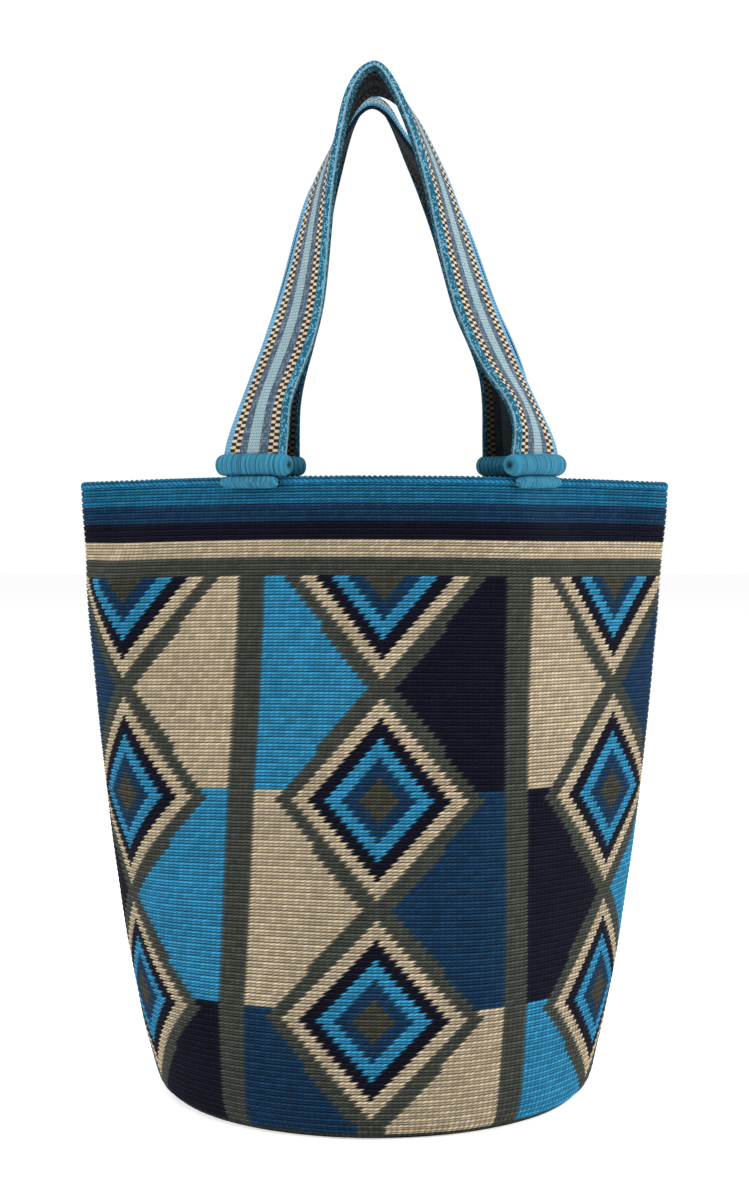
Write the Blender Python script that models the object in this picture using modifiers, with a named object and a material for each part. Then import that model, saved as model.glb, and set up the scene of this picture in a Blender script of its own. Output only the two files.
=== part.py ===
"""Wayuu mochila: a crocheted bucket bag, open at the top, with two woven handles.

The bag stands on its round base, centred on the origin, with its front towards -Y.
Each handle is a twisted strap whose two ends are bound into yarn rolls on the rim.
All sizes are in metres, angles in degrees.
"""

import math

import bmesh
import bpy
import numpy as np
from mathutils import Vector

MM = 0.001
GAP = 0.3 * MM  # between two pieces that touch

# The crocheted wall, base to rim: height, half width and half depth of each ring, and how
# far it has changed from an ellipse to the shouldered outline.
WALL_THICKNESS = 4.0 * MM
BAG_HEIGHT = 310 * MM
WALL_RINGS = np.array(
    [
        (0, 104.5, 103.0, 0),
        (1.5, 107.5, 106.5, 0),
        (5, 110.3, 109.0, 0),
        (12, 112.8, 110.3, 0.03),
        (18, 114.3, 110.3, 0.05),
        (34, 118.8, 108.5, 0.12),
        (57, 123.8, 105.8, 0.21),
        (80, 128.2, 100.0, 0.33),
        (104, 132.2, 93.4, 0.43),
        (157, 139.2, 78.5, 0.49),
        (210, 145.0, 63.4, 0.72),
        (240, 147.6, 56.0, 0.90),
        (263, 149.1, 52.5, 1),
        (287, 149.6, 52.5, 1),
        (310, 149.6, 52.5, 1),
    ]
)
RING_POINTS = 96

# The shouldered outline, in half widths and half depths, a quarter at a time from the
# front centre. The bag is pressed flat at the front, and its right side is set further back.
SHOULDER_QUARTERS = (
    ((0, -1), (0.49, -1), (1, 0.48)),
    ((1, 0.48), (0.36, 1), (0, 1)),
    ((0, 1), (-0.36, 1), (-1, 0.3)),
    ((-1, 0.3), (-0.91, -0.45), (0, -1)),
)
SHOULDER_SOFTENING = 78  # smoothing passes

# The mouth seen from above, in millimetres, a quarter at a time from the front centre.
# It swings in at each handle foot, where the strap's pull turns the rim.
MOUTH_QUARTERS = (
    ((0, -54), (40, -56), (69.5, -54), (92, -25), (125, -12), (146, -8), (152, 0)),
    ((152, 0), (146, 8), (125, 12), (88, 26), (58, 51), (30, 54), (0, 54)),
    ((0, 54), (-28, 55), (-44, 52), (-76, 31), (-120, 14), (-146, 8), (-152, 0)),
    ((-152, 0), (-146, -8), (-120, -14), (-76, -31), (-44, -52), (-28, -55), (0, -54)),
)
MOUTH_SOFTENING = 18  # smoothing passes
MOUTH_FADES_AT = 255 * MM  # below this height a ring has none of the mouth's shape
RING_DETAIL = 360
ELLIPSE_DETAIL = 4 * RING_DETAIL

# The handle straps.
STRAP_WIDTH = 36 * MM
STRAP_THICKNESS = 4.5 * MM
STRAP_DETAIL = 240
STRAP_SOFTENING = 22  # smoothing passes
STRAP_POINTS = 64
SLOT_ROWS = 6  # of the strap's points, from its end, that reach past its roll
STRAP_TILT = 13.8  # degrees that the strap leans at the top of its loop
STRAP_TILT_REACH = 0.25  # of the loop's height, down from its top, that leans
# Each strap's middle line from its left foot over the top to its right foot:
# x and z in millimetres, and how far the strap is turned from the bag's front.
STRAP_PATHS = {
    "front": (
        (-59.2, 315, 29),
        (-59, 323, 29),
        (-56.8, 333, 35),
        (-54, 347, 47),
        (-48, 363, 46),
        (-42, 378, 45),
        (-36.8, 395, 51),
        (-32.8, 415, 59),
        (-29.5, 435, 66),
        (-25.8, 455, 73),
        (-21, 470, 80),
        (-16.8, 482, 86),
        (-13.4, 494, 89),
        (-8.3, 504, 90),
        (-0.7, 510.8, 90),
        (9.5, 503.8, 79),
        (17.3, 491.5, 75),
        (22.3, 480, 74),
        (27.3, 468, 72),
        (31.8, 455, 69),
        (37.5, 435, 64),
        (43, 415, 59),
        (49.4, 395, 55),
        (56.4, 378, 54),
        (63.4, 363, 57),
        (73.2, 347, 67),
        (78.3, 333, 60),
        (79, 323, 48),
        (79, 315, 48),
    ),
    "back": (
        (-55.5, 315, 31),
        (-55.5, 323, 31),
        (-54.5, 335, 38),
        (-53, 349, 45),
        (-50, 364, 46),
        (-45, 380, 47),
        (-40, 397, 52),
        (-36, 416, 59),
        (-32.4, 436, 66),
        (-28, 455, 73),
        (-22.5, 468, 80),
        (-18, 479, 86),
        (-14, 490, 89),
        (-9, 499.5, 90),
        (-1.5, 506, 90),
        (6.5, 500, 90),
        (13.5, 487.5, 88),
        (20, 475.5, 82),
        (27, 465.5, 74),
        (33, 454, 69),
        (40.5, 436, 64),
        (47, 416, 60),
        (53, 397, 57),
        (61.5, 380, 56),
        (67.5, 364, 55),
        (70, 348, 50),
        (71, 333, 44),
        (72, 323, 40),
        (72, 315, 40),
    ),
}
STRAP_FOOT_DEPTH = 40.7 * MM  # of the straps' middle lines, from the bag's centre plane
STRAP_TOP_DEPTH = 19 * MM

# The yarn rolls that bind each strap's foot and sew it to the rim.
ROLL_LENGTH = 39 * MM
ROLL_RADIUS = 5.8 * MM
ROLL_HEIGHT = 316.8 * MM
ROLL_SIDES = 20
ROLL_EDGE = 1.6 * MM  # how far its ends are rounded
ROLL_EDGE_STEPS = 2
ROLL_EDGE_ANGLE = 60  # edges sharper than this are rounded
SEAM_RADIUS = 3.0 * MM
SEAM_HEIGHT = 308 * MM
SEAM_LENGTH = 36 * MM
SEAM_POINTS = 9
SEAM_ROUNDNESS = 3  # bevel resolution
SEAM_CLEARANCE = 2 * GAP  # from the wall's smooth outline to the seam

TEAL = (0.012, 0.085, 0.17, 1)
LIGHT_TEAL = (0.04, 0.27, 0.40, 1)
SLATE = (0.10, 0.16, 0.21, 1)
YARN_ROUGHNESS = 0.9


def clear_scene():
    for obj in list(bpy.data.objects):
        bpy.data.objects.remove(obj)


def new_collection(name):
    collection = bpy.data.collections.new(name)
    bpy.context.scene.collection.children.link(collection)
    return collection


def yarn(name, colour):
    material = bpy.data.materials.new(name)
    material.use_nodes = True
    shader = material.node_tree.nodes["Principled BSDF"]
    shader.inputs["Base Color"].default_value = colour
    shader.inputs["Roughness"].default_value = YARN_ROUGHNESS
    material.diffuse_color = colour
    return material


def new_object(name, bm, collection, material=None):
    mesh = bpy.data.meshes.new(name)
    bm.to_mesh(mesh)
    bm.free()
    obj = bpy.data.objects.new(name, mesh)
    collection.objects.link(obj)
    if material:
        mesh.materials.append(material)
        mesh.shade_smooth()
    return obj


def spaced(points, count, closed=False):
    """A line through the points, cut into even steps."""
    points = np.asarray(points, float)
    if closed:
        points = np.vstack([points, points[:1]])
    steps = np.linalg.norm(np.diff(points, axis=0), axis=1)
    along = np.concatenate([[0], np.cumsum(steps)])
    wanted = np.linspace(0, along[-1], count, endpoint=not closed)
    return np.stack([np.interp(wanted, along, column) for column in points.T], axis=1)


def softened(points, passes, closed=False):
    """The line with its corners rounded; an open line keeps its ends."""
    for _ in range(passes):
        blurred = (np.roll(points, 1, axis=0) + 2 * points + np.roll(points, -1, axis=0)) / 4
        if not closed:
            blurred[0] = points[0]
            blurred[-1] = points[-1]
        points = blurred
    return points


def quartered_ring(quarters, passes):
    """A closed line from four quarters, with the same number of points in each."""
    parts = [spaced(quarter, RING_DETAIL // 4 + 1)[:-1] for quarter in quarters]
    return softened(np.vstack(parts), passes, closed=True)


def stretched(values, half):
    """Moves and scales the values so that they run from -half to half."""
    low, high = values.min(), values.max()
    return (2 * values - low - high) / (high - low) * half


def mouth_ring():
    ring = quartered_ring(MOUTH_QUARTERS, MOUTH_SOFTENING) * MM
    ring[:, 0] = stretched(ring[:, 0], WALL_RINGS[-1][1] * MM)
    return ring


def shoulder_ring():
    ring = quartered_ring(SHOULDER_QUARTERS, SHOULDER_SOFTENING)
    return np.stack([stretched(column, 1) for column in ring.T], axis=1)


def ellipse_ring(half_width, half_depth):
    turn = np.linspace(0, 2 * math.pi, ELLIPSE_DETAIL, endpoint=False)
    ring = np.stack([half_width * np.sin(turn), -half_depth * np.cos(turn)], axis=1)
    return spaced(ring, RING_DETAIL, closed=True)


def wall_ring(height, count):
    """The wall's outer outline at a height, from the front centre towards +X."""
    heights = WALL_RINGS[:, 0] * MM
    half_width, half_depth, shoulder = [np.interp(height, heights, column) for column in WALL_RINGS[:, 1:].T]
    half_width, half_depth = half_width * MM, half_depth * MM
    ring = (1 - shoulder) * ellipse_ring(half_width, half_depth)
    ring += shoulder * shoulder_ring() * (half_width, half_depth)
    share = np.clip((height - MOUTH_FADES_AT) / (BAG_HEIGHT - MOUTH_FADES_AT), 0, 1)
    share = share * share * (3 - 2 * share)
    return spaced((1 - share) * ring + share * mouth_ring(), count, closed=True)


def build_bag(collection, material):
    """The wall is a loft from the round base to the flat mouth, made a shell by Solidify."""
    bm = bmesh.new()
    loops = []
    for height in WALL_RINGS[:, 0] * MM:
        loops.append([bm.verts.new((x, y, height)) for x, y in wall_ring(height, RING_POINTS)])
    bm.faces.new(reversed(loops[0]))
    for lower, upper in zip(loops, loops[1:]):
        for i in range(RING_POINTS):
            j = (i + 1) % RING_POINTS
            bm.faces.new((lower[i], lower[j], upper[j], upper[i]))
    bag = new_object("bag_body", bm, collection, material)
    shell = bag.modifiers.new("Wall", "SOLIDIFY")
    shell.thickness = WALL_THICKNESS
    shell.offset = -1
    shell.use_even_offset = True


def strap_line(place):
    """Points of a strap's middle line and the direction across it, from its inner edge."""
    path = spaced(softened(spaced(STRAP_PATHS[place], STRAP_DETAIL), STRAP_SOFTENING), STRAP_POINTS)
    x, z = path[:, 0] * MM, path[:, 1] * MM
    turn = np.radians(path[:, 2])
    near_foot = (z.max() - z) / (z.max() - z.min())
    depth = STRAP_TOP_DEPTH + (STRAP_FOOT_DEPTH - STRAP_TOP_DEPTH) * near_foot
    tilt = math.radians(STRAP_TILT) * np.clip(1 - near_foot / STRAP_TILT_REACH, 0, 1)
    side = np.sign(np.arange(len(x)) - np.argmax(z))
    middle = np.stack([x, -depth, z], axis=1)
    across = np.stack([side * np.cos(turn), np.sin(turn) * np.cos(tilt), -np.sin(tilt)], axis=1)
    if place == "back":
        mirror = np.array([1, -1, 1])
        middle = middle * mirror
        across = across * mirror
    return middle, across


def strap_strip(middle, across, width):
    """An open strip, three points wide, along the middle line."""
    bm = bmesh.new()
    rows = []
    for point, direction in zip(middle, across):
        rows.append([bm.verts.new(point + direction * width * k) for k in (-0.5, 0, 0.5)])
    for row, following in zip(rows, rows[1:]):
        for i in range(2):
            bm.faces.new((row[i], row[i + 1], following[i + 1], following[i]))
    return bm


def thicken(obj, thickness):
    shell = obj.modifiers.new("Thickness", "SOLIDIFY")
    shell.thickness = thickness
    shell.offset = 0
    shell.use_even_offset = True
    flat = obj.modifiers.new("Flat faces", "TRIANGULATE")
    flat.quad_method = "FIXED"


def build_strap(name, line, collection, material):
    middle, across = line
    strap = new_object(name, strap_strip(middle, across, STRAP_WIDTH), collection, material)
    thicken(strap, STRAP_THICKNESS)


def build_slot(name, line, at_end, collection):
    """The space that a strap's foot takes in its roll, with a gap all round."""
    middle, across = line
    picked = slice(-SLOT_ROWS, None) if at_end else slice(0, SLOT_ROWS)
    points = middle[picked].copy()
    points[-1 if at_end else 0] -= (0, 0, GAP)
    slot = new_object(name, strap_strip(points, across[picked], STRAP_WIDTH + 2 * GAP), collection)
    thicken(slot, STRAP_THICKNESS + 2 * GAP)
    slot.hide_render = True
    slot.display_type = "WIRE"
    return slot


def build_roll(name, foot, across, slot, collection, material):
    """A roll of yarn round the strap's foot, with rounded ends and a slot for the strap."""
    bm = bmesh.new()
    bmesh.ops.create_cone(
        bm,
        cap_ends=True,
        segments=ROLL_SIDES,
        radius1=ROLL_RADIUS,
        radius2=ROLL_RADIUS,
        depth=ROLL_LENGTH,
    )
    roll = new_object(name, bm, collection, material)
    roll.location = (foot[0], foot[1], ROLL_HEIGHT)
    roll.rotation_euler = Vector(across).to_track_quat("Z", "Y").to_euler()
    ends = roll.modifiers.new("Rounded ends", "BEVEL")
    ends.width = ROLL_EDGE
    ends.segments = ROLL_EDGE_STEPS
    ends.limit_method = "ANGLE"
    ends.angle_limit = math.radians(ROLL_EDGE_ANGLE)
    cut = roll.modifiers.new("Slot", "BOOLEAN")
    cut.operation = "DIFFERENCE"
    cut.solver = "EXACT"
    cut.object = slot


def build_seam(name, foot, collection, material):
    """The thin roll of stitches that follows the wall under a strap's foot."""
    ring = wall_ring(SEAM_HEIGHT, RING_DETAIL)
    nearest = int(np.argmin(np.linalg.norm(ring - foot[:2], axis=1)))
    step = np.linalg.norm(np.diff(ring, axis=0), axis=1).mean()
    reach = int(SEAM_LENGTH / step / 2)
    picked = np.arange(nearest - reach, nearest + reach + 1)
    along = np.roll(ring, -1, axis=0) - np.roll(ring, 1, axis=0)
    along /= np.linalg.norm(along, axis=1)[:, None]
    outward = np.stack([along[:, 1], -along[:, 0]], axis=1)
    offset = SEAM_RADIUS + SEAM_CLEARANCE
    line = spaced((ring + outward * offset)[picked % len(ring)], SEAM_POINTS)
    curve = bpy.data.curves.new(name, "CURVE")
    curve.dimensions = "3D"
    curve.bevel_depth = SEAM_RADIUS
    curve.bevel_resolution = SEAM_ROUNDNESS
    curve.use_fill_caps = True
    curve.materials.append(material)
    spline = curve.splines.new("POLY")
    spline.points.add(SEAM_POINTS - 1)
    for point, (x, y) in zip(spline.points, line):
        point.co = (x, y, SEAM_HEIGHT, 1)
    seam = bpy.data.objects.new(name, curve)
    collection.objects.link(seam)


def build_handle(place, parts, cutters, strap_material, roll_material):
    line = strap_line(place)
    middle, across = line
    build_strap(f"{place}_handle", line, parts, strap_material)
    for side, at_end in (("left", False), ("right", True)):
        foot = middle[-1 if at_end else 0]
        direction = across[-1 if at_end else 0]
        slot = build_slot(f"{place}_{side}_slot", line, at_end, cutters)
        build_roll(f"{place}_{side}_roll", foot, direction, slot, parts, roll_material)
        build_seam(f"{place}_{side}_seam", foot, parts, roll_material)


def main():
    clear_scene()
    parts = new_collection("wayuu_mochila_bag")
    cutters = new_collection("cutters")
    build_bag(parts, yarn("crocheted cotton", TEAL))
    strap_material = yarn("woven strap", SLATE)
    roll_material = yarn("wrapped yarn", LIGHT_TEAL)
    for place in ("front", "back"):
        build_handle(place, parts, cutters, strap_material, roll_material)


main()
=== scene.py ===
"""The looks of the Wayuu mochila bag: crochet, woven straps and wrapped yarn.

Everything is in metres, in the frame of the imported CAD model. The bag's front faces -Y.
"""

import math

import bpy
import numpy as np
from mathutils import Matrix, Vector


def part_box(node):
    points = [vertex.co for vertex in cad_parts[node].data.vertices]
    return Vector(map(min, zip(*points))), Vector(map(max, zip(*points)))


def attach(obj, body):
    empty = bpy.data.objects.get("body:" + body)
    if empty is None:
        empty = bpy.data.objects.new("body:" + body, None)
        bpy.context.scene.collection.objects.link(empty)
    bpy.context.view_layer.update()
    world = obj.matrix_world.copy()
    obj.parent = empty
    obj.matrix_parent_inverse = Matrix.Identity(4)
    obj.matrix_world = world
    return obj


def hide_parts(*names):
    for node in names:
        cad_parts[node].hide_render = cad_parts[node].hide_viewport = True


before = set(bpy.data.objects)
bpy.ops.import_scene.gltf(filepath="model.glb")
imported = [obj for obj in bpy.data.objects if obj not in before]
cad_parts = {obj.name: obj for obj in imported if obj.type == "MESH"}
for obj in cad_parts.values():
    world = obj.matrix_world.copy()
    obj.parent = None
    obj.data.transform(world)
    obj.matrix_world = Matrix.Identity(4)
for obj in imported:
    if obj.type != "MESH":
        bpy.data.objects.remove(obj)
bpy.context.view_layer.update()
MM = 0.001

# ---------------------------------------------------------------- sizes

WALL_THICKNESS = 4.0 * MM
BAG_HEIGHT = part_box("bag_body")[1][2]
# Height, half width, half depth (mm) and share of the shouldered outline, base to rim.
WALL_RINGS = np.array(
    [
        (0, 104.5, 103.0, 0),
        (1.5, 107.5, 106.5, 0),
        (5, 110.3, 109.0, 0),
        (12, 112.8, 110.3, 0.03),
        (18, 114.3, 110.3, 0.05),
        (34, 118.8, 108.5, 0.12),
        (57, 123.8, 105.8, 0.21),
        (80, 128.2, 100.0, 0.33),
        (104, 132.2, 93.4, 0.43),
        (157, 139.2, 78.5, 0.49),
        (210, 145.0, 63.4, 0.72),
        (240, 147.6, 56.0, 0.90),
        (263, 149.1, 52.5, 1),
        (287, 149.6, 52.5, 1),
        (310, 149.6, 52.5, 1),
    ]
)
# The shouldered outline, in half widths and half depths: its right side is set further back.
SHOULDER_QUARTERS = (
    ((0, -1), (0.49, -1), (1, 0.48)),
    ((1, 0.48), (0.36, 1), (0, 1)),
    ((0, 1), (-0.36, 1), (-1, 0.3)),
    ((-1, 0.3), (-0.91, -0.45), (0, -1)),
)
SHOULDER_SOFTENING = 150  # smoothing passes
# The mouth seen from above, in millimetres, a quarter at a time from the front centre.
MOUTH_QUARTERS = (
    ((0, -54), (40, -56), (69.5, -54), (92, -25), (125, -12), (146, -8), (152, 0)),
    ((152, 0), (146, 8), (125, 12), (88, 26), (58, 51), (30, 54), (0, 54)),
    ((0, 54), (-28, 55), (-44, 52), (-76, 31), (-120, 14), (-146, 8), (-152, 0)),
    ((-152, 0), (-146, -8), (-120, -14), (-76, -31), (-44, -52), (-28, -55), (0, -54)),
)
MOUTH_SOFTENING = 36  # smoothing passes
MOUTH_FADES_AT = 255 * MM  # below this height a ring has none of the mouth's shape
PROFILE_SOFTENING = 12  # smoothing passes over the rings' sizes
SIDE_SAG = 3.5 * MM  # how much lower a row lies at the bag's two sides than in the middle
SAG_FADES_AT = 120 * MM

# Crochet gauge.
STITCHES = 250
ROWS = 104
COLUMNS_PER_STITCH = 2
LINES_PER_ROW = 4
LINING_LINES_PER_ROW = 2
# Row number, counted from the rim, and its height in millimetres.
ROW_HEIGHTS = ((0, 310.0), (16, 263.0), (50, 157.5), (84, 57.0), (102.3, 4.0), (103.3, 1.0), (104, 0.0))
ROW_RELIEF = (-0.50, 0.45, -0.02, 0.28)  # mm, at quarters of a row from its top
LINING_RELIEF = (-0.3, 0.2)  # mm, at a row's top and at its middle
WALL_WOBBLE = 0.25 * MM  # slow unevenness of the wall
WALL_INSET = 0.4 * MM  # keeps the stitches' ridges near the smooth wall

# Straps.
STRAP_WIDTH = 36 * MM
STRAP_THICKNESS = 4.5 * MM
STRAP_TILT = 13.8
STRAP_PATHS = {
    "front": (
        (-59.2, 315, 29),
        (-59, 323, 29),
        (-56.8, 333, 35),
        (-54, 347, 47),
        (-48, 363, 46),
        (-42, 378, 45),
        (-36.8, 395, 51),
        (-32.8, 415, 59),
        (-29.5, 435, 66),
        (-25.8, 455, 73),
        (-21, 470, 80),
        (-16.8, 482, 86),
        (-13.4, 494, 89),
        (-8.3, 504, 90),
        (-0.7, 510.8, 90),
        (9.5, 503.8, 79),
        (17.3, 491.5, 75),
        (22.3, 480, 74),
        (27.3, 468, 72),
        (31.8, 455, 69),
        (37.5, 435, 64),
        (43, 415, 59),
        (49.4, 395, 55),
        (56.4, 378, 54),
        (63.4, 363, 57),
        (73.2, 347, 67),
        (78.3, 333, 60),
        (79, 323, 48),
        (79, 315, 48),
    ),
    "back": (
        (-55.5, 315, 31),
        (-55.5, 323, 31),
        (-54.5, 335, 38),
        (-53, 349, 45),
        (-50, 364, 46),
        (-45, 380, 47),
        (-40, 397, 52),
        (-36, 416, 59),
        (-32.4, 436, 66),
        (-28, 455, 73),
        (-22.5, 468, 80),
        (-18, 479, 86),
        (-14, 490, 89),
        (-9, 499.5, 90),
        (-1.5, 506, 90),
        (6.5, 500, 90),
        (13.5, 487.5, 88),
        (20, 475.5, 82),
        (27, 465.5, 74),
        (33, 454, 69),
        (40.5, 436, 64),
        (47, 416, 60),
        (53, 397, 57),
        (61.5, 380, 56),
        (67.5, 364, 55),
        (70, 348, 50),
        (71, 333, 44),
        (72, 323, 40),
        (72, 315, 40),
    ),
}
STRAP_FOOT_DEPTH = 40.7 * MM  # of the straps' middle lines, from the bag's centre plane
STRAP_TOP_DEPTH = 19 * MM
STRAP_DETAIL = 240
STRAP_SOFTENING = 22  # smoothing passes
STRAP_STEPS = 560
# A strap's inner face is darkened in the materials as painted shade.
INNER_FADE = 0.4 * MM  # thickness over which a strap's face counts as its inner one

ROLL_LENGTH = 39 * MM
ROLL_RADIUS = 5.8 * MM
ROLL_HEIGHT = 316.8 * MM
SEAM_RADIUS = 3.0 * MM
SEAM_HEIGHT = 308.4 * MM
SEAM_LENGTH = 37 * MM
ROLL_STATIONS = 150
ROLL_SIDES = 72
CAP_RINGS = 11  # of a roll's end face
SEAM_STATIONS = 120
SEAM_SIDES = 40

# ---------------------------------------------------------------- colours (linear)

TEAL = (0.008, 0.082, 0.156)
MID_BLUE = (0.0055, 0.024, 0.056)
NAVY = (0.0038, 0.0042, 0.0103)
BEIGE = (0.300, 0.245, 0.167)
BRIGHT = (0.0185, 0.148, 0.266)
GREY = (0.036, 0.040, 0.033)
CORE = (0.034, 0.034, 0.024)
BASE_EDGE = (0.024, 0.027, 0.021)
WRAP = (0.030, 0.190, 0.300)
SLATE_LIGHT = (0.078, 0.110, 0.140)
SLATE_DARK = (0.038, 0.058, 0.082)
FLOAT_PALE = (0.20, 0.28, 0.30)
FLOAT_GROUND = (0.047, 0.072, 0.10)
CHECK_PALE = (0.36, 0.29, 0.20)
CHECK_DARK = (0.014, 0.012, 0.013)
# The border's rib crests and the grooves between them: painted highlight and painted shade on one teal
# yarn.
BORDER_RIB_HIGHLIGHT = (0.085, 0.21, 0.31)
BORDER_RIB_SHADE = (0.03, 0.08, 0.13)
BRAID = (0.014, 0.09, 0.15)
BRAID_DASH = (0.07, 0.23, 0.32)
# A pale line along the braid's outermost edge: painted highlight.
BRAID_EDGE_HIGHLIGHT = (0.17, 0.31, 0.37)

# ---------------------------------------------------------------- lines and rings


def spaced(points, count, closed=False):
    """A line through the points, cut into even steps."""
    points = np.asarray(points, float)
    if closed:
        points = np.vstack([points, points[:1]])
    steps = np.linalg.norm(np.diff(points, axis=0), axis=1)
    along = np.concatenate([[0], np.cumsum(steps)])
    wanted = np.linspace(0, along[-1], count, endpoint=not closed)
    return np.stack([np.interp(wanted, along, column) for column in points.T], axis=1)


def softened(points, passes, closed=False):
    """The line with its corners rounded; an open line keeps its ends."""
    for _ in range(passes):
        blurred = (np.roll(points, 1, axis=0) + 2 * points + np.roll(points, -1, axis=0)) / 4
        if not closed:
            blurred[0] = points[0]
            blurred[-1] = points[-1]
        points = blurred
    return points


def unit(vectors):
    return vectors / np.linalg.norm(vectors, axis=-1, keepdims=True)


RING_POINTS = STITCHES * COLUMNS_PER_STITCH


def quartered_ring(quarters, passes):
    """A closed line from four quarters, so that the front and back centres keep their places."""
    parts = [spaced(quarter, RING_POINTS // 4 + 1)[:-1] for quarter in quarters]
    return softened(np.vstack(parts), passes, closed=True)


def stretched(values, half):
    """Moves and scales the values so that they run from -half to half."""
    low, high = values.min(), values.max()
    return (2 * values - low - high) / (high - low) * half


def mouth_ring():
    ring = quartered_ring(MOUTH_QUARTERS, MOUTH_SOFTENING) * MM
    ring[:, 0] = stretched(ring[:, 0], WALL_RINGS[-1][1] * MM)
    return ring


def shoulder_ring():
    ring = quartered_ring(SHOULDER_QUARTERS, SHOULDER_SOFTENING)
    return np.stack([stretched(column, 1) for column in ring.T], axis=1)


def ellipse_ring(half_width, half_depth):
    turn = np.linspace(0, 2 * math.pi, 4 * RING_POINTS, endpoint=False)
    ring = np.stack([half_width * np.sin(turn), -half_depth * np.cos(turn)], axis=1)
    return spaced(ring, RING_POINTS, closed=True)


MOUTH = mouth_ring()
SHOULDER = shoulder_ring()
PROFILE_HEIGHTS = np.arange(int(WALL_RINGS[-1][0]) + 1) * MM
PROFILE_COLUMNS = [np.interp(PROFILE_HEIGHTS / MM, WALL_RINGS[:, 0], column) for column in WALL_RINGS.T[1:]]
PROFILE = softened(np.stack(PROFILE_COLUMNS, axis=1), PROFILE_SOFTENING)


def wall_ring(height):
    """The wall's outer outline at a height, from the front centre towards +X."""
    half_width, half_depth, shoulder = [np.interp(height, PROFILE_HEIGHTS, column) for column in PROFILE.T]
    half_width, half_depth = half_width * MM, half_depth * MM
    round_ring = ellipse_ring(half_width, half_depth)
    ring = (1 - shoulder) * round_ring + shoulder * SHOULDER * (half_width, half_depth)
    share = np.clip((height - MOUTH_FADES_AT) / (BAG_HEIGHT - MOUTH_FADES_AT), 0, 1)
    share = share * share * (3 - 2 * share)
    return spaced((1 - share) * ring + share * MOUTH, RING_POINTS, closed=True)


def wall_surface(rows):
    """Points of the smooth wall, one line of them for each row number, and their normals."""
    heights = np.interp(rows, *np.transpose(ROW_HEIGHTS)) * MM
    rings = np.stack([wall_ring(height) for height in heights])
    half_width = np.abs(rings[:, :, 0]).max(axis=1)[:, None]
    sag = SIDE_SAG * (rings[:, :, 0] / half_width) ** 2
    fade = np.clip(heights / SAG_FADES_AT, 0, 1)[:, None]
    z = np.broadcast_to(heights[:, None], sag.shape) - sag * fade
    points = np.concatenate([rings, z[:, :, None]], axis=2)
    start = STITCHES // 10 * COLUMNS_PER_STITCH
    points = np.roll(points, start, axis=1)
    points = np.concatenate([points, points[:, :1]], axis=1)
    return points, grid_normals(points, wraps=True, flip=True)


# ---------------------------------------------------------------- meshes


def grid_normals(points, wraps=False, flip=False):
    """Smooth normals of a grid of points; wraps says that its last column is its first."""
    down = np.gradient(points, axis=0)
    if wraps:
        padded = np.concatenate([points[:, -2:-1], points, points[:, 1:2]], axis=1)
        across = (padded[:, 2:] - padded[:, :-2]) / 2
    else:
        across = np.gradient(points, axis=1)
    normals = np.cross(across, down)
    length = np.linalg.norm(normals, axis=2, keepdims=True)
    normals = normals / np.maximum(length, 1e-12)
    return -normals if flip else normals


def add_grid(
    name, points, uv, material, replaces, flip=False, wraps=False, normals=None, values=None
):
    """A piece whose mesh is a grid of quads, with a UV and extra numbers at each point."""
    rows, columns = points.shape[:2]
    index = np.arange(rows * columns).reshape(rows, columns)
    corners = [index[:-1, :-1], index[:-1, 1:], index[1:, 1:], index[1:, :-1]]
    if flip:
        corners.reverse()
    quads = np.stack(corners, axis=-1).reshape(-1, 4)
    if normals is None:
        normals = grid_normals(points, wraps, flip)
    mesh = bpy.data.meshes.new(name)
    mesh.vertices.add(rows * columns)
    mesh.vertices.foreach_set("co", points.astype(np.float32).ravel())
    mesh.loops.add(quads.size)
    mesh.loops.foreach_set("vertex_index", quads.astype(np.int32).ravel())
    mesh.polygons.add(len(quads))
    mesh.polygons.foreach_set("loop_start", np.arange(0, quads.size, 4, dtype=np.int32))
    mesh.update(calc_edges=True)
    layer = mesh.uv_layers.new(name="UVMap")
    layer.data.foreach_set("uv", uv.reshape(-1, 2)[quads.ravel()].astype(np.float32).ravel())
    for label, numbers in (values or {}).items():
        attribute = mesh.attributes.new(label, "FLOAT", "POINT")
        attribute.data.foreach_set("value", np.asarray(numbers, np.float32).ravel())
    mesh.shade_smooth()
    mesh.normals_split_custom_set_from_vertices(normals.reshape(-1, 3).tolist())
    mesh.materials.append(material)
    piece = bpy.data.objects.new(name, mesh)
    bpy.context.scene.collection.objects.link(piece)
    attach(piece, "root")
    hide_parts(*replaces)
    return piece


# ---------------------------------------------------------------- material language


class Number:
    """A number that varies over a surface, made of math nodes."""

    def __init__(self, tree, socket):
        self.tree = tree
        self.socket = socket

    def made(self, operation, *values):
        node = self.tree.nodes.new("ShaderNodeMath")
        node.operation = operation
        for socket, value in zip(node.inputs, values):
            feed(self.tree, socket, value)
        return Number(self.tree, node.outputs[0])

    def __add__(self, other):
        return self.made("ADD", self, other)

    def __sub__(self, other):
        return self.made("SUBTRACT", self, other)

    def __rsub__(self, other):
        return self.made("SUBTRACT", other, self)

    def __mul__(self, other):
        return self.made("MULTIPLY", self, other)

    def __truediv__(self, other):
        return self.made("DIVIDE", self, other)

    def __lt__(self, other):
        return self.made("LESS_THAN", self, other)

    def __gt__(self, other):
        return self.made("GREATER_THAN", self, other)

    __radd__ = __add__
    __rmul__ = __mul__

    def floor(self):
        return self.made("FLOOR", self)

    def fraction(self):
        return self.made("FRACT", self)

    def size(self):
        return self.made("ABSOLUTE", self)

    def least(self, other):
        return self.made("MINIMUM", self, other)

    def most(self, other):
        return self.made("MAXIMUM", self, other)

    def wrapped(self, period):
        """The remainder after whole periods, never below zero."""
        return self - (self / period).floor() * period


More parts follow.
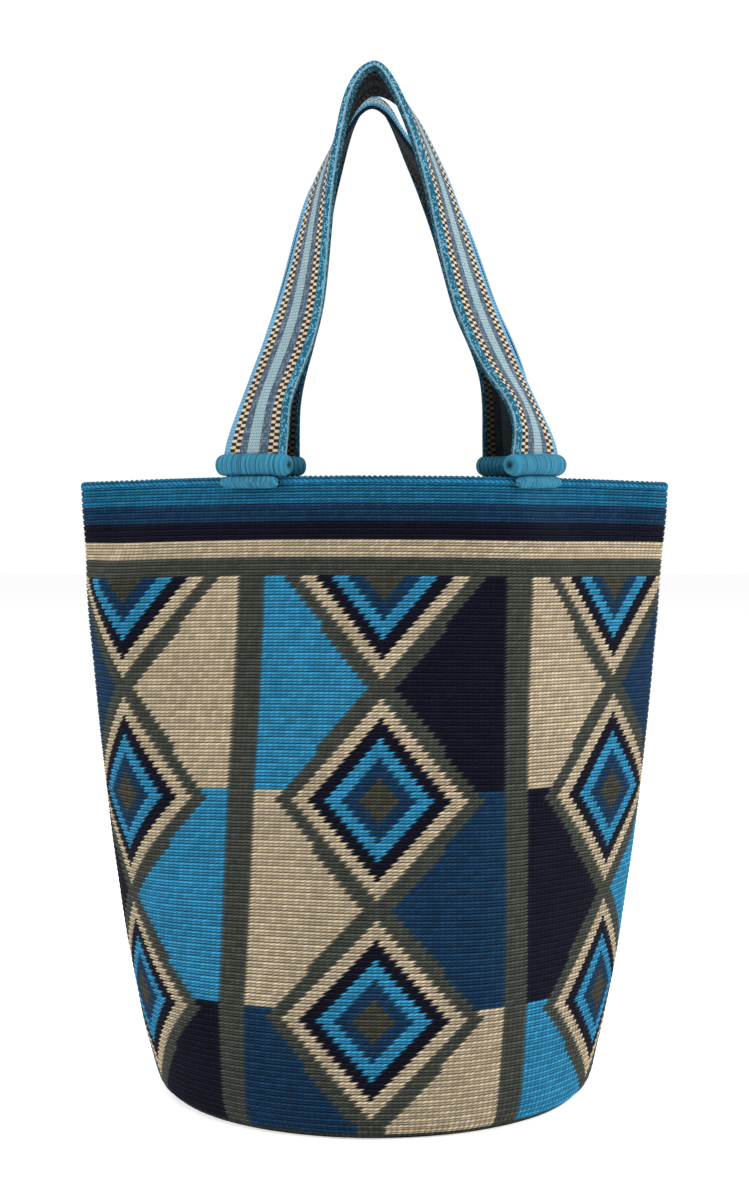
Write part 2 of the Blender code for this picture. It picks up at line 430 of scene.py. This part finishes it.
def feed(tree, socket, value):
    if isinstance(value, Number):
        tree.links.new(value.socket, socket)
    elif isinstance(value, bpy.types.NodeSocket):
        tree.links.new(value, socket)
    elif isinstance(value, tuple) and len(value) == 3 and socket.type == "RGBA":
        socket.default_value = (*value, 1)
    else:
        socket.default_value = value


def choose(tree, mask, yes, no):
    """The colour yes where mask is 1, and no where it is 0."""
    node = tree.nodes.new("ShaderNodeMix")
    node.data_type = "RGBA"
    feed(tree, node.inputs["Factor"], mask)
    feed(tree, node.inputs[6], no)
    feed(tree, node.inputs[7], yes)
    return node.outputs[2]


def shaded(tree, colour, amount):
    """The colour multiplied by a number."""
    node = tree.nodes.new("ShaderNodeVectorMath")
    node.operation = "SCALE"
    feed(tree, node.inputs[0], colour)
    feed(tree, node.inputs["Scale"], amount)
    return node.outputs[0]


def uv_numbers(tree):
    node = tree.nodes.new("ShaderNodeUVMap")
    node.uv_map = "UVMap"
    split = tree.nodes.new("ShaderNodeSeparateXYZ")
    tree.links.new(node.outputs[0], split.inputs[0])
    return Number(tree, split.outputs[0]), Number(tree, split.outputs[1])


def joined(tree, x, y, z=0.0):
    node = tree.nodes.new("ShaderNodeCombineXYZ")
    for socket, value in zip(node.inputs, (x, y, z)):
        feed(tree, socket, value)
    return node.outputs[0]


def per_cell(tree, x, y, seed=0.0):
    """A random number from 0 to 1 for each whole x and y."""
    node = tree.nodes.new("ShaderNodeTexWhiteNoise")
    node.noise_dimensions = "3D"
    tree.links.new(joined(tree, x, y, seed), node.inputs["Vector"])
    return Number(tree, node.outputs["Value"])


def noise(tree, vector, scale, detail=2.0):
    node = tree.nodes.new("ShaderNodeTexNoise")
    tree.links.new(vector, node.inputs["Vector"])
    node.inputs["Scale"].default_value = scale
    node.inputs["Detail"].default_value = detail
    return Number(tree, node.outputs["Fac"])


def place(tree):
    return tree.nodes.new("ShaderNodeTexCoord").outputs["Object"]


def value_of(tree, label):
    node = tree.nodes.new("ShaderNodeAttribute")
    node.attribute_name = label
    return Number(tree, node.outputs["Fac"])


def new_material(name, roughness, sheen):
    material = bpy.data.materials.new(name)
    material.use_nodes = True
    shader = material.node_tree.nodes["Principled BSDF"]
    shader.inputs["Roughness"].default_value = roughness
    shader.inputs["Specular IOR Level"].default_value = 0.04
    shader.inputs["Sheen Weight"].default_value = sheen
    shader.inputs["Sheen Roughness"].default_value = 0.4
    return material, material.node_tree, shader


def finish_material(tree, shader, colour, height, distance):
    tree.links.new(colour, shader.inputs["Base Color"])
    bump = tree.nodes.new("ShaderNodeBump")
    bump.inputs["Strength"].default_value = 1.0
    bump.inputs["Distance"].default_value = distance
    tree.links.new(height.socket, bump.inputs["Height"])
    tree.links.new(bump.outputs[0], shader.inputs["Normal"])


# ---------------------------------------------------------------- crochet

PANEL = 50  # stitches from one diamond to the next
FIRST_DIAMOND = 16  # the row through the middle of the top diamonds
DIAMOND_ROWS = 34  # rows from one diamond to the next
BANDS = ((4, TEAL), (7, MID_BLUE), (10, NAVY), (13, BEIGE), (16, GREY))
RINGS = ((4, CORE), (7, MID_BLUE), (10, BRIGHT), (13, NAVY), (16, BEIGE))
OUTLINE_REACH = 18.3
OUTLINE_SLOPE = 0.9
STRIPE_FROM = 22.5
ROW_LEAN = -0.20  # stitches that a whole row leans over
STRAND_LEAN = 1.7  # stitches that one strand of yarn leans over in one row
DRIFT_AT_RIM = 0.45  # stitches that the pattern is slid sideways
DRIFT_CURVE = 0.00012  # stitches of drift lost for each squared row
# The fields beside the diamonds, left and right in each panel from the front, mouth to base.
FIELDS = (
    (BRIGHT, NAVY, BEIGE, MID_BLUE, NAVY, BEIGE, MID_BLUE, BRIGHT, MID_BLUE, BEIGE),
    (BEIGE, MID_BLUE, NAVY, BRIGHT, MID_BLUE, NAVY, BRIGHT, BEIGE, NAVY, BRIGHT),
    (MID_BLUE, BEIGE, BRIGHT, NAVY, BEIGE, BRIGHT, NAVY, MID_BLUE, BRIGHT, NAVY),
)


def field_colour(tree, number):
    """The colour of a numbered field, from a ramp of plain steps."""
    colours = [colour for level in FIELDS for colour in level]
    node = tree.nodes.new("ShaderNodeValToRGB")
    ramp = node.color_ramp
    ramp.interpolation = "CONSTANT"
    while len(ramp.elements) < len(colours):
        ramp.elements.new(0.5)
    for k, colour in enumerate(colours):
        ramp.elements[k].position = k / len(colours)
    for k, colour in enumerate(colours):
        ramp.elements[k].color = (*colour, 1)
    feed(tree, node.inputs[0], (number + 0.5) / len(colours))
    return node.outputs[0]


def pattern_colour(tree, stitch, row):
    """The colour of the yarn in each stitch of each row."""
    panel = ((stitch + PANEL / 2) / PANEL).floor()
    x = stitch - panel * PANEL
    level = ((row - (FIRST_DIAMOND - 1)) / DIAMOND_ROWS).floor().most(0).least(2)
    diamond = ((row - (FIRST_DIAMOND - DIAMOND_ROWS / 2)) / DIAMOND_ROWS).floor().most(0).least(2)
    from_middle = (row - (diamond * DIAMOND_ROWS + FIRST_DIAMOND)).size()
    side = x > -0.5
    colour = field_colour(tree, level * 10 + panel.wrapped(5) * 2 + side)
    outline = (x.size() + from_middle * OUTLINE_SLOPE) < OUTLINE_REACH
    colour = choose(tree, outline, GREY, colour)
    ring = x.size() + from_middle
    for reach, ring_colour in reversed(RINGS):
        colour = choose(tree, ring < reach - 0.5, ring_colour, colour)
    colour = choose(tree, x.size() > STRIPE_FROM, GREY, colour)
    for reach, band_colour in reversed(BANDS):
        colour = choose(tree, row < reach - 0.5, band_colour, colour)
    return choose(tree, row > ROWS - 1.5, BASE_EDGE, colour)


def hump(value, middle, reach):
    """A smooth hump, 1 at the middle and 0 beyond its reach."""
    off = (value - middle) / reach
    return (1.0 - off * off).most(0.0)


def crochet_material(name, plain=None, shade=1.0):
    """Rows of slanted stitches; u counts stitches and v counts rows from the rim."""
    material, tree, shader = new_material(name, 0.9, 0.012)
    u, v = uv_numbers(tree)
    row = v.floor()
    t = v.fraction()
    lower = t > 0.5
    drift = DRIFT_AT_RIM - v * v * DRIFT_CURVE
    middle = lower * 0.5 + 0.25
    across = u - drift + 0.5 + (t - middle) * STRAND_LEAN + (0.5 - t) * ROW_LEAN
    stitch = across.floor()
    strand = hump(across.fraction(), 0.5, 0.56)
    ridge = hump(t, 0.26, 0.27) + hump(t, 0.75, 0.24) * 0.75
    height = ridge * (strand * 0.8 + 0.2)
    spot = place(tree)
    fibre = noise(tree, spot, 2600, 3)
    patch = noise(tree, spot, 22, 2)
    tone = per_cell(tree, stitch, row)
    colour = plain if plain else pattern_colour(tree, stitch, row)
    # Painted shade in the grooves between stitches and painted highlight on their ridges, from the height;
    # times the yarn's own tone, patches and fibre. The shade factor scales it all down further as painted
    # shade.
    light = (height * 1.65 + 0.09) * (tone * 0.36 + 0.82) * (patch * 0.3 + 0.85) * (fibre * 0.7 + 0.65)
    colour = shaded(tree, colour, light * shade)
    finish_material(tree, shader, colour, height + fibre * 0.25, 0.9 * MM)
    return material


def build_wall(material, inside_material):
    rows = np.arange(ROWS * LINES_PER_ROW + 1) / LINES_PER_ROW
    points, normals = wall_surface(rows)
    relief = np.array(ROW_RELIEF)[np.arange(len(rows)) % LINES_PER_ROW] * MM
    relief[-1] = 0
    u = np.arange(RING_POINTS + 1) / COLUMNS_PER_STITCH - STITCHES / 10
    wobble = WALL_WOBBLE * np.sin(u[None, :] * 0.31 + rows[:, None] * 0.12)
    wobble = wobble * np.sin(rows[:, None] * 0.21 + 1)
    outer = points + normals * (relief[:, None] + wobble - WALL_INSET)[:, :, None]
    outer[:, -1] = outer[:, 0]
    outer_normals = grid_normals(outer, wraps=True, flip=True)
    uv = np.stack(np.broadcast_arrays(u[None, :], rows[:, None]), axis=2)
    share = RING_POINTS // 5
    for k in range(5):
        part = slice(k * share, (k + 1) * share + 1)
        add_grid(
            f"crochet_wall_{k + 1}",
            outer[:, part],
            uv[:, part],
            material,
            ["bag_body"],
            flip=True,
            normals=outer_normals[:, part],
        )
    coarse = np.arange((ROWS - 1) * LINING_LINES_PER_ROW + 1) / LINING_LINES_PER_ROW
    points, normals = wall_surface(coarse)
    relief = np.array(LINING_RELIEF)[np.arange(len(coarse)) % LINING_LINES_PER_ROW] * MM
    inner = points - normals * (WALL_THICKNESS - relief[:, None])[:, :, None]
    inner = inner[:, ::2]
    uv = np.stack(np.broadcast_arrays(u[None, ::2], coarse[:, None]), axis=2)
    add_grid("crochet_lining", inner, uv, inside_material, ["bag_body"], wraps=True)


RIM_DETAIL = 3  # points for each point of the wall
RIM_SWELL = 0.35 * MM  # of each chain stitch
RIM_SINK = 0.6 * MM


def build_rim(material):
    """The last round of crochet: a rounded edge of chain stitches over the wall's top."""
    points, normals = wall_surface(np.array([0.0, 0.4]))
    top, out = points[0], normals[0]
    out = unit(out * np.array([1, 1, 0]))
    turn = np.linspace(-0.5, math.pi + 0.5, 12)
    fine = np.arange((len(top) - 1) * RIM_DETAIL + 1) / RIM_DETAIL
    old = np.arange(len(top))
    top = np.stack([np.interp(fine, old, column) for column in top.T], axis=1)
    out = np.stack([np.interp(fine, old, column) for column in out.T], axis=1)
    stitch = fine / COLUMNS_PER_STITCH - STITCHES / 10
    rings = []
    for angle in turn:
        swell = RIM_SWELL * np.sin((stitch + angle * 0.12) * 2 * math.pi)
        radius = WALL_THICKNESS / 2 + 0.2 * MM + swell * max(0, math.sin(angle))
        side = radius * math.cos(angle) - WALL_THICKNESS / 2
        rise = radius * math.sin(angle) - RIM_SINK
        ring = top + out * np.broadcast_to(side, len(stitch))[:, None]
        ring[:, 2] += rise
        rings.append(ring)
    points = np.stack(rings)
    v = np.linspace(-0.9, 0.9, len(turn))
    uv = np.stack(np.broadcast_arrays(stitch[None, :], v[:, None]), axis=2)
    add_grid("rim_edge", points, uv, material, ["bag_body"], wraps=True)


BASE_ROUNDS = 36


def build_disc(name, material, height, inset, rings, flip):
    """A round of crochet that fills the base, in rounds from the edge to the middle."""
    edge, _ = wall_surface(np.array([ROWS - 0.2, ROWS]))
    edge = edge[1][::2]
    share = 1 - np.linspace(0, 1, rings * 3 + 1) * 0.995
    ripple = np.where(np.arange(len(share)) % 3 == 0, 0.0, 0.5) * MM
    share = share * (1 - inset)
    points = edge[None, :, :] * np.array([1, 1, 0]) * share[:, None, None]
    points[:, :, 2] = (height + (ripple if flip else ripple * 0.8))[:, None]
    rounds = np.arange(len(share)) / 3
    u = np.arange(edge.shape[0]) - STITCHES / 10
    uv = np.stack(np.broadcast_arrays(u[None, :] * share[:, None], rounds[:, None] + ROWS), axis=2)
    add_grid(name, points, uv, material, ["bag_body"], wraps=True, flip=flip)


# ---------------------------------------------------------------- straps


def strap_line(place_name):
    """Points of a strap's middle line and the direction across it, from its inner edge."""
    path = spaced(softened(spaced(STRAP_PATHS[place_name], STRAP_DETAIL), STRAP_SOFTENING), STRAP_STEPS)
    x, z = path[:, 0] * MM, path[:, 1] * MM
    turn = np.radians(path[:, 2])
    near_foot = (z.max() - z) / (z.max() - z.min())
    depth = STRAP_TOP_DEPTH + (STRAP_FOOT_DEPTH - STRAP_TOP_DEPTH) * near_foot
    tilt = math.radians(STRAP_TILT) * np.clip(1 - 4 * near_foot, 0, 1)
    side = np.sign(np.arange(len(x)) - np.argmax(z))
    middle = np.stack([x, -depth, z], axis=1)
    across = np.stack([side * np.cos(turn), np.sin(turn) * np.cos(tilt), -np.sin(tilt)], axis=1)
    if place_name == "back":
        mirror = np.array([1, -1, 1])
        middle = middle * mirror
        across = across * mirror
    return middle, across


def strap_frame(place_name):
    """The strap's middle line, directions across and outwards, and length along it."""
    middle, across = strap_line(place_name)
    along = unit(np.gradient(middle, axis=0))
    outward = unit(np.cross(along, across))
    if place_name == "back":
        outward = -outward
    length = np.concatenate([[0], np.cumsum(np.linalg.norm(np.diff(middle, axis=0), axis=1))])
    return middle, across, outward, length


def sweep(name, frame_parts, outline, material, replaces, is_back, wrap_uv=None):
    """Carries a closed outline, given across and outwards in metres, along the strap."""
    middle, across, outward, length = frame_parts
    outline = np.vstack([outline, outline[:1]])
    points = (
        middle[:, None, :]
        + across[:, None, :] * outline[None, :, :1]
        + outward[:, None, :] * outline[None, :, 1:2]
    )
    if wrap_uv is None:
        first = outline[:, 0] / MM
    else:
        first = np.linspace(0, wrap_uv, len(outline))
    uv = np.stack(np.broadcast_arrays(first[None, :], (length / MM)[:, None]), axis=2)
    # inner marks the strap's inner face, which the strap and cord materials darken as painted shade.
    inner = np.clip(0.5 - outline[:, 1] / INNER_FADE, 0, 1)
    values = {"inner": np.broadcast_to(inner[None, :], points.shape[:2])}
    return add_grid(
        name, points, uv, material, replaces, flip=not is_back, wraps=True, values=values
    )


def rounded_outline(left, right, half, count=16):
    """A flat strip's outline with round edges, across from left to right."""
    turn = np.linspace(-math.pi / 2, math.pi / 2, 9)
    right_edge = np.stack([right - half + half * np.cos(turn), half * np.sin(turn)], axis=1)
    left_edge = np.stack([left + half - half * np.cos(turn), -half * np.sin(turn)], axis=1)
    width = np.linspace(right - half, left + half, count + 2)[1:-1]
    top = np.stack([width, np.full(count, half)], axis=1)
    bottom = np.stack([width[::-1], np.full(count, -half)], axis=1)
    return np.vstack([right_edge, top, left_edge, bottom])


CORD_EDGE = -14.0  # mm across, where the strap's thick inner edge ends
BORDER_EDGE = 13.6
CHECKS = ((-14.0, -8.6), (8.0, 13.6))
PALE = (-3.2, 3.6)
CHECK_PITCH = 3.15
RIB_PITCH = 1.575
THREAD_PITCH = 0.8
BRICK_PITCH = 1.25
STRANDS_ROUND = 14  # of the braided edge
DASH_PITCH = 1.1


def strap_material(name):
    material, tree, shader = new_material(name, 0.85, 0.02)
    w, s = uv_numbers(tree)
    inner = value_of(tree, "inner") > 0.5
    rib = (s / RIB_PITCH).fraction()
    rib_shape = hump(rib, 0.5, 0.6)
    spot = place(tree)
    fibre = noise(tree, spot, 2200, 3)
    patch = noise(tree, spot, 60, 2)
    thread = per_cell(tree, (w / THREAD_PITCH).floor(), (s / RIB_PITCH).floor())
    slate = choose(tree, thread > 0.62, SLATE_LIGHT, SLATE_DARK)
    # Pale middle: small light floats laid like bricks on a blue ground.
    brick_row = (s / RIB_PITCH * 2).floor()
    brick = (w / BRICK_PITCH + brick_row.wrapped(2) * 0.5).fraction()
    dot = hump(brick, 0.5, 0.52) * hump((s / RIB_PITCH * 2).fraction(), 0.5, 0.62)
    pale = choose(tree, dot > 0.34, FLOAT_PALE, FLOAT_GROUND)
    colour = choose(tree, ((w - sum(PALE) / 2).size()) < (PALE[1] - PALE[0]) / 2, pale, slate)
    for low, high in CHECKS:
        column = ((w - low) / ((high - low) / 2)).floor()
        step = (s / CHECK_PITCH + column * 0.5).fraction()
        check = choose(tree, step > 0.5, CHECK_PALE, CHECK_DARK)
        inside = (w - (low + high) / 2).size() < (high - low) / 2
        colour = choose(tree, inside, check, colour)
    # Painted highlight on the border's rib crests and painted shade in the grooves between them.
    border = choose(tree, rib_shape > 0.35, BORDER_RIB_HIGHLIGHT, BORDER_RIB_SHADE)
    colour = choose(tree, w > BORDER_EDGE, border, colour)
    # Painted shade between the ribs and painted light on them, times the yarn's own patches and fibre.
    light = (rib_shape * 0.55 + 0.55) * (patch * 0.3 + 0.85) * (fibre * 0.5 + 0.75)
    # The inner face is darkened to a tenth: painted shade under the strap.
    colour = shaded(tree, colour, light * (1.0 - inner * 0.9))
    height = rib_shape * 0.6 + dot * 0.3 + fibre * 0.2
    finish_material(tree, shader, colour, height, 0.5 * MM)
    return material


def cord_material(name):
    """A dense braid: short slanted strands, crossing both ways round the cord."""
    material, tree, shader = new_material(name, 0.85, 0.02)
    around, s = uv_numbers(tree)
    first = (around + s / DASH_PITCH).fraction()
    second = (around - s / DASH_PITCH).fraction()
    knot = hump(first, 0.5, 0.6) * hump(second, 0.5, 0.6)
    spot = place(tree)
    fibre = noise(tree, spot, 2400, 3)
    patch = noise(tree, spot, 90, 2)
    tone = per_cell(tree, (around + s / DASH_PITCH).floor(), (around - s / DASH_PITCH).floor())
    # Painted shade between the braid's knots and painted light on them, times the strands' own tone,
    # patches and fibre.
    light = (knot * 0.8 + 0.5) * (tone * 0.5 + 0.75) * (patch * 0.3 + 0.85) * (fibre * 0.4 + 0.8)
    inner = value_of(tree, "inner")
    colour = choose(tree, tone > 0.72, BRAID_DASH, BRAID)
    # Painted highlight: a pale line along the cord's outermost edge.
    colour = choose(tree, (around - STRANDS_ROUND / 2).size() < 0.5, BRAID_EDGE_HIGHLIGHT, colour)
    # The cord's inner face is darkened by half: painted shade.
    colour = shaded(tree, colour, light * (1.0 - inner * 0.5))
    finish_material(tree, shader, colour, knot + fibre * 0.2, 0.5 * MM)
    return material


def build_strap(place_name, band, cord):
    is_back = place_name == "back"
    parts = strap_frame(place_name)
    half = STRAP_THICKNESS / 2
    band_outline = rounded_outline(CORD_EDGE * MM - 1.0 * MM, STRAP_WIDTH / 2, half * 0.86)
    node = f"{place_name}_handle"
    sweep(f"{node}_band", parts, band_outline, band, [node], is_back)
    turn = np.linspace(0, 2 * math.pi, 25)[:-1]
    centre = (-STRAP_WIDTH / 2 + CORD_EDGE * MM) / 2
    reach = (CORD_EDGE * MM + STRAP_WIDTH / 2) / 2
    cord_outline = np.stack([centre + reach * np.cos(turn), half * 1.15 * np.sin(turn)], axis=1)
    sweep(f"{node}_cord", parts, cord_outline, cord, [node], is_back, wrap_uv=STRANDS_ROUND)


# ---------------------------------------------------------------- rolls


WOUND_PITCH = 0.5  # mm, one thread
BUNDLE_PITCH = 2.7  # mm, from one crease to the next


def wrap_material(name, slant=0.0):
    """Fine threads wound side by side, u along the roll in mm and v round it."""
    material, tree, shader = new_material(name, 0.75, 0.04)
    u, v = uv_numbers(tree)
    cap = value_of(tree, "cap")
    along = u + v * slant
    thread = hump((along / WOUND_PITCH).fraction(), 0.5, 0.58)
    core = value_of(tree, "core")
    radial = hump((v * 26.0 + core * 1.5).fraction(), 0.5, 0.6)
    shape = thread * (1.0 - cap) + radial * cap
    spot = place(tree)
    strand = per_cell(tree, (along / WOUND_PITCH).floor(), 1.0)
    bundle = noise(tree, joined(tree, along * 0.9, 0.0, v * 2.0), 1.0, 2)
    fibre = noise(tree, spot, 2400, 3)
    gap = hump(per_cell(tree, (along / WOUND_PITCH).floor(), 7.0), 0.0, 0.09)
    # Painted shade between the wound threads and painted light on them, times the threads' and bundles' own
    # tone and the fibre.
    light = (shape * 0.45 + 0.62) * (strand * 0.3 + 0.85) * (bundle * 0.6 + 0.7) * (fibre * 0.4 + 0.8)
    wander = noise(tree, joined(tree, along * 0.4, 0.0, v * 1.5), 1.0, 1)
    crease = hump(((along + wander * 2.2) / BUNDLE_PITCH).fraction(), 0.5, 0.10) * (1.0 - cap)
    # Painted shade in the gaps between threads, in the creases between bundles and in the sunken middle of
    # each gathered end.
    light = light * (1.0 - gap * 0.45) * (1.0 - crease * 0.55) * (1.0 - core * 0.75)
    # The end faces are a fifth darker: painted shade.
    colour = shaded(tree, WRAP, light * (1.0 - cap * 0.2))
    height = shape + bundle * 0.6 + fibre * 0.15 - gap * 0.8 - crease * 1.2
    finish_material(tree, shader, colour, height, 0.55 * MM)
    return material


def build_roll(name, foot, axis, material, seed):
    """A fat roll of yarn, wound round the strap's foot, with gathered ends."""
    rng = np.random.default_rng(seed)
    half = ROLL_LENGTH / 2
    station = np.sin(np.linspace(-math.pi / 2, math.pi / 2, ROLL_STATIONS))
    bulge = 1 - np.abs(station) ** 9 * 0.22
    lumps = np.interp(station, np.linspace(-1, 1, 14), rng.uniform(-0.25, 0.25, 14)) * MM
    cap_steps = np.linspace(1, 0.02, CAP_RINGS + 1)[1:]
    axial = [station * half]
    radius = [ROLL_RADIUS * bulge + lumps * (np.abs(station) < 0.97)]
    end_radius = radius[0][-1]
    dome = 1.1 * MM * np.sqrt(1 - cap_steps**2) - 1.6 * MM * np.clip(1 - cap_steps * 2.2, 0, 1)
    axial = np.concatenate([-(half + dome[::-1]), axial[0], half + dome])
    radius = np.concatenate([radius[0][0] * cap_steps[::-1], radius[0], end_radius * cap_steps])
    cap = np.concatenate([np.ones(CAP_RINGS), (np.abs(station) > 0.995) * 1.0, np.ones(CAP_RINGS)])
    axis = unit(np.asarray(axis, float))
    up = np.array([0.0, 0.0, 1.0])
    side = unit(np.cross(axis, up))
    up = np.cross(side, axis)
    turn = np.linspace(0, 2 * math.pi, ROLL_SIDES + 1)
    centre = np.array([foot[0], foot[1], ROLL_HEIGHT])
    ring = side[None, :] * np.cos(turn)[:, None] + up[None, :] * np.sin(turn)[:, None]
    points = centre + axis * axial[:, None, None] + ring[None, :, :] * radius[:, None, None]
    along = (axial / MM)[:, None] + seed * 50
    uv = np.stack(np.broadcast_arrays(along, (turn / (2 * math.pi))[None, :]), axis=2)
    core = np.concatenate([1 - cap_steps[::-1], np.zeros(len(station)), 1 - cap_steps])
    values = {"cap": np.broadcast_to(cap[:, None], points.shape[:2])}
    values["core"] = np.broadcast_to(core[:, None], points.shape[:2])
    add_grid(name, points, uv, material, [name.replace("_wrap", "")], wraps=True, values=values)


def build_seam(name, foot, material, seed):
    """The thin roll of stitches that follows the wall under a strap's foot."""
    points, normals = wall_surface(np.array([0.6, 1.0]))
    ring, out = points[0][:-1], unit(normals[0][:-1] * np.array([1, 1, 0]))
    nearest = int(np.argmin(np.linalg.norm(ring[:, :2] - foot[:2], axis=1)))
    step = np.linalg.norm(np.diff(ring, axis=0), axis=1).mean()
    reach = int(SEAM_LENGTH / step / 2)
    picked = np.arange(nearest - reach, nearest + reach + 1) % len(ring)
    line = spaced(ring[picked] + out[picked] * (SEAM_RADIUS * 0.75), SEAM_STATIONS)
    out = unit(spaced(out[picked], SEAM_STATIONS))
    line[:, 2] = SEAM_HEIGHT
    along = unit(np.gradient(line, axis=0))
    s = np.linspace(-1, 1, SEAM_STATIONS)
    radius = SEAM_RADIUS * np.clip(1 - np.abs(s) ** 10 * 0.75, 0.1, 1)
    turn = np.linspace(0, 2 * math.pi, SEAM_SIDES + 1)
    up = np.array([0.0, 0.0, 1.0])
    points = (
        line[:, None, :]
        + out[:, None, :] * (np.cos(turn)[None, :] * radius[:, None])[:, :, None]
        + up * (np.sin(turn)[None, :] * radius[:, None])[:, :, None]
    )
    length = (s * SEAM_LENGTH / 2 / MM + seed * 50)[:, None]
    uv = np.stack(np.broadcast_arrays(length, (turn / (2 * math.pi))[None, :]), axis=2)
    values = {"cap": np.zeros(points.shape[:2]), "core": np.zeros(points.shape[:2])}
    node = name.replace("_stitches", "")
    add_grid(name, points, uv, material, [node], wraps=True, values=values, flip=True)


def build_feet(place_name, wrap, stitches, seed):
    middle, across = strap_line(place_name)
    for k, (side, at) in enumerate((("left", 0), ("right", -1))):
        build_roll(f"{place_name}_{side}_roll_wrap", middle[at], across[at], wrap, seed + k)
        build_seam(f"{place_name}_{side}_seam_stitches", middle[at], stitches, seed + k)


# ---------------------------------------------------------------- studio


FLOOR_HALF = 6.0
FLOOR_GLOW = 0.35
LIGHT_TARGET = (0, 0, 0.22)
WORLD_FRONT = 0.30
WORLD_BACK = 1.02
LIGHTS = (
    ("key_left", (-1.5, -0.7, 0.9), 1.0, 30),
    ("key_right", (1.5, -0.6, 0.9), 1.0, 38),
    ("top", (0.0, -0.3, 2.0), 1.2, 30),
)


def build_studio():
    scene = bpy.context.scene
    scene.view_settings.view_transform = "Standard"
    floor_mesh = bpy.data.meshes.new("floor")
    corners = [(x * FLOOR_HALF, y * FLOOR_HALF, 0) for x, y in ((-1, -1), (1, -1), (1, 1), (-1, 1))]
    floor_mesh.from_pydata(corners, [], [(0, 1, 2, 3)])
    floor = bpy.data.objects.new("floor", floor_mesh)
    scene.collection.objects.link(floor)
    material = bpy.data.materials.new("floor white")
    material.use_nodes = True
    shader = material.node_tree.nodes["Principled BSDF"]
    shader.inputs["Base Color"].default_value = (0.9, 0.9, 0.9, 1)
    shader.inputs["Roughness"].default_value = 0.9
    shader.inputs["Specular IOR Level"].default_value = 0.0
    shader.inputs["Emission Color"].default_value = (1, 1, 1, 1)
    shader.inputs["Emission Strength"].default_value = FLOOR_GLOW
    floor_mesh.materials.append(material)
    build_world()
    for light in LIGHTS:
        add_light(*light)


def build_world():
    """White behind the bag, dimmer on the viewer's side so that the side lights shape it."""
    world = bpy.data.worlds.new("studio")
    world.use_nodes = True
    tree = world.node_tree
    split = tree.nodes.new("ShaderNodeSeparateXYZ")
    tree.links.new(tree.nodes.new("ShaderNodeTexCoord").outputs["Generated"], split.inputs[0])
    reach = tree.nodes.new("ShaderNodeMapRange")
    reach.interpolation_type = "SMOOTHSTEP"
    tree.links.new(split.outputs[1], reach.inputs["Value"])
    limits = {"From Min": -0.6, "From Max": 0.6, "To Min": WORLD_FRONT, "To Max": WORLD_BACK}
    for label, value in limits.items():
        reach.inputs[label].default_value = value
    tree.links.new(reach.outputs[0], tree.nodes["Background"].inputs["Strength"])
    tree.nodes["Background"].inputs["Color"].default_value = (1, 1, 1, 1)
    bpy.context.scene.world = world


def add_light(name, location, size, power):
    light = bpy.data.lights.new(name, "AREA")
    light.size = size
    light.energy = power
    lamp = bpy.data.objects.new(name, light)
    lamp.location = location
    aim = Vector(LIGHT_TARGET) - lamp.location
    lamp.rotation_euler = aim.to_track_quat("-Z", "Y").to_euler()
    bpy.context.scene.collection.objects.link(lamp)


CAMERA_DISTANCE = 1.1237
CAMERA_HEIGHT = 0.310
CAMERA_PITCH = 3.15  # degrees below level
CAMERA_LENS = 66.0


def build_camera():
    data = bpy.data.cameras.new("camera")
    data.lens = CAMERA_LENS
    data.sensor_width = 36
    camera = bpy.data.objects.new("camera", data)
    camera.location = (0, -CAMERA_DISTANCE, CAMERA_HEIGHT)
    camera.rotation_euler = (math.radians(90 - CAMERA_PITCH), 0, 0)
    bpy.context.scene.collection.objects.link(camera)
    bpy.context.scene.camera = camera


def main():
    crochet = crochet_material("tapestry crochet")
    # The inside gets 0.7 of the outside's brightness: painted shade inside the bag.
    lining = crochet_material("tapestry crochet inside", shade=0.7)
    rim = crochet_material("rim crochet")
    base = crochet_material("base crochet", plain=GREY)
    build_wall(crochet, lining)
    build_rim(rim)
    build_disc("base_outside", base, 0.0, 0.0, BASE_ROUNDS, True)
    build_disc("base_inside", base, WALL_THICKNESS, 0.03, BASE_ROUNDS, False)
    band = strap_material("woven strap")
    cord = cord_material("braided edge")
    wrap = wrap_material("wound yarn")
    stitches = wrap_material("sewn yarn", slant=4.0)
    for k, place_name in enumerate(("front", "back")):
        build_strap(place_name, band, cord)
        build_feet(place_name, wrap, stitches, 10 * k + 1)
    build_studio()
    build_camera()


main()
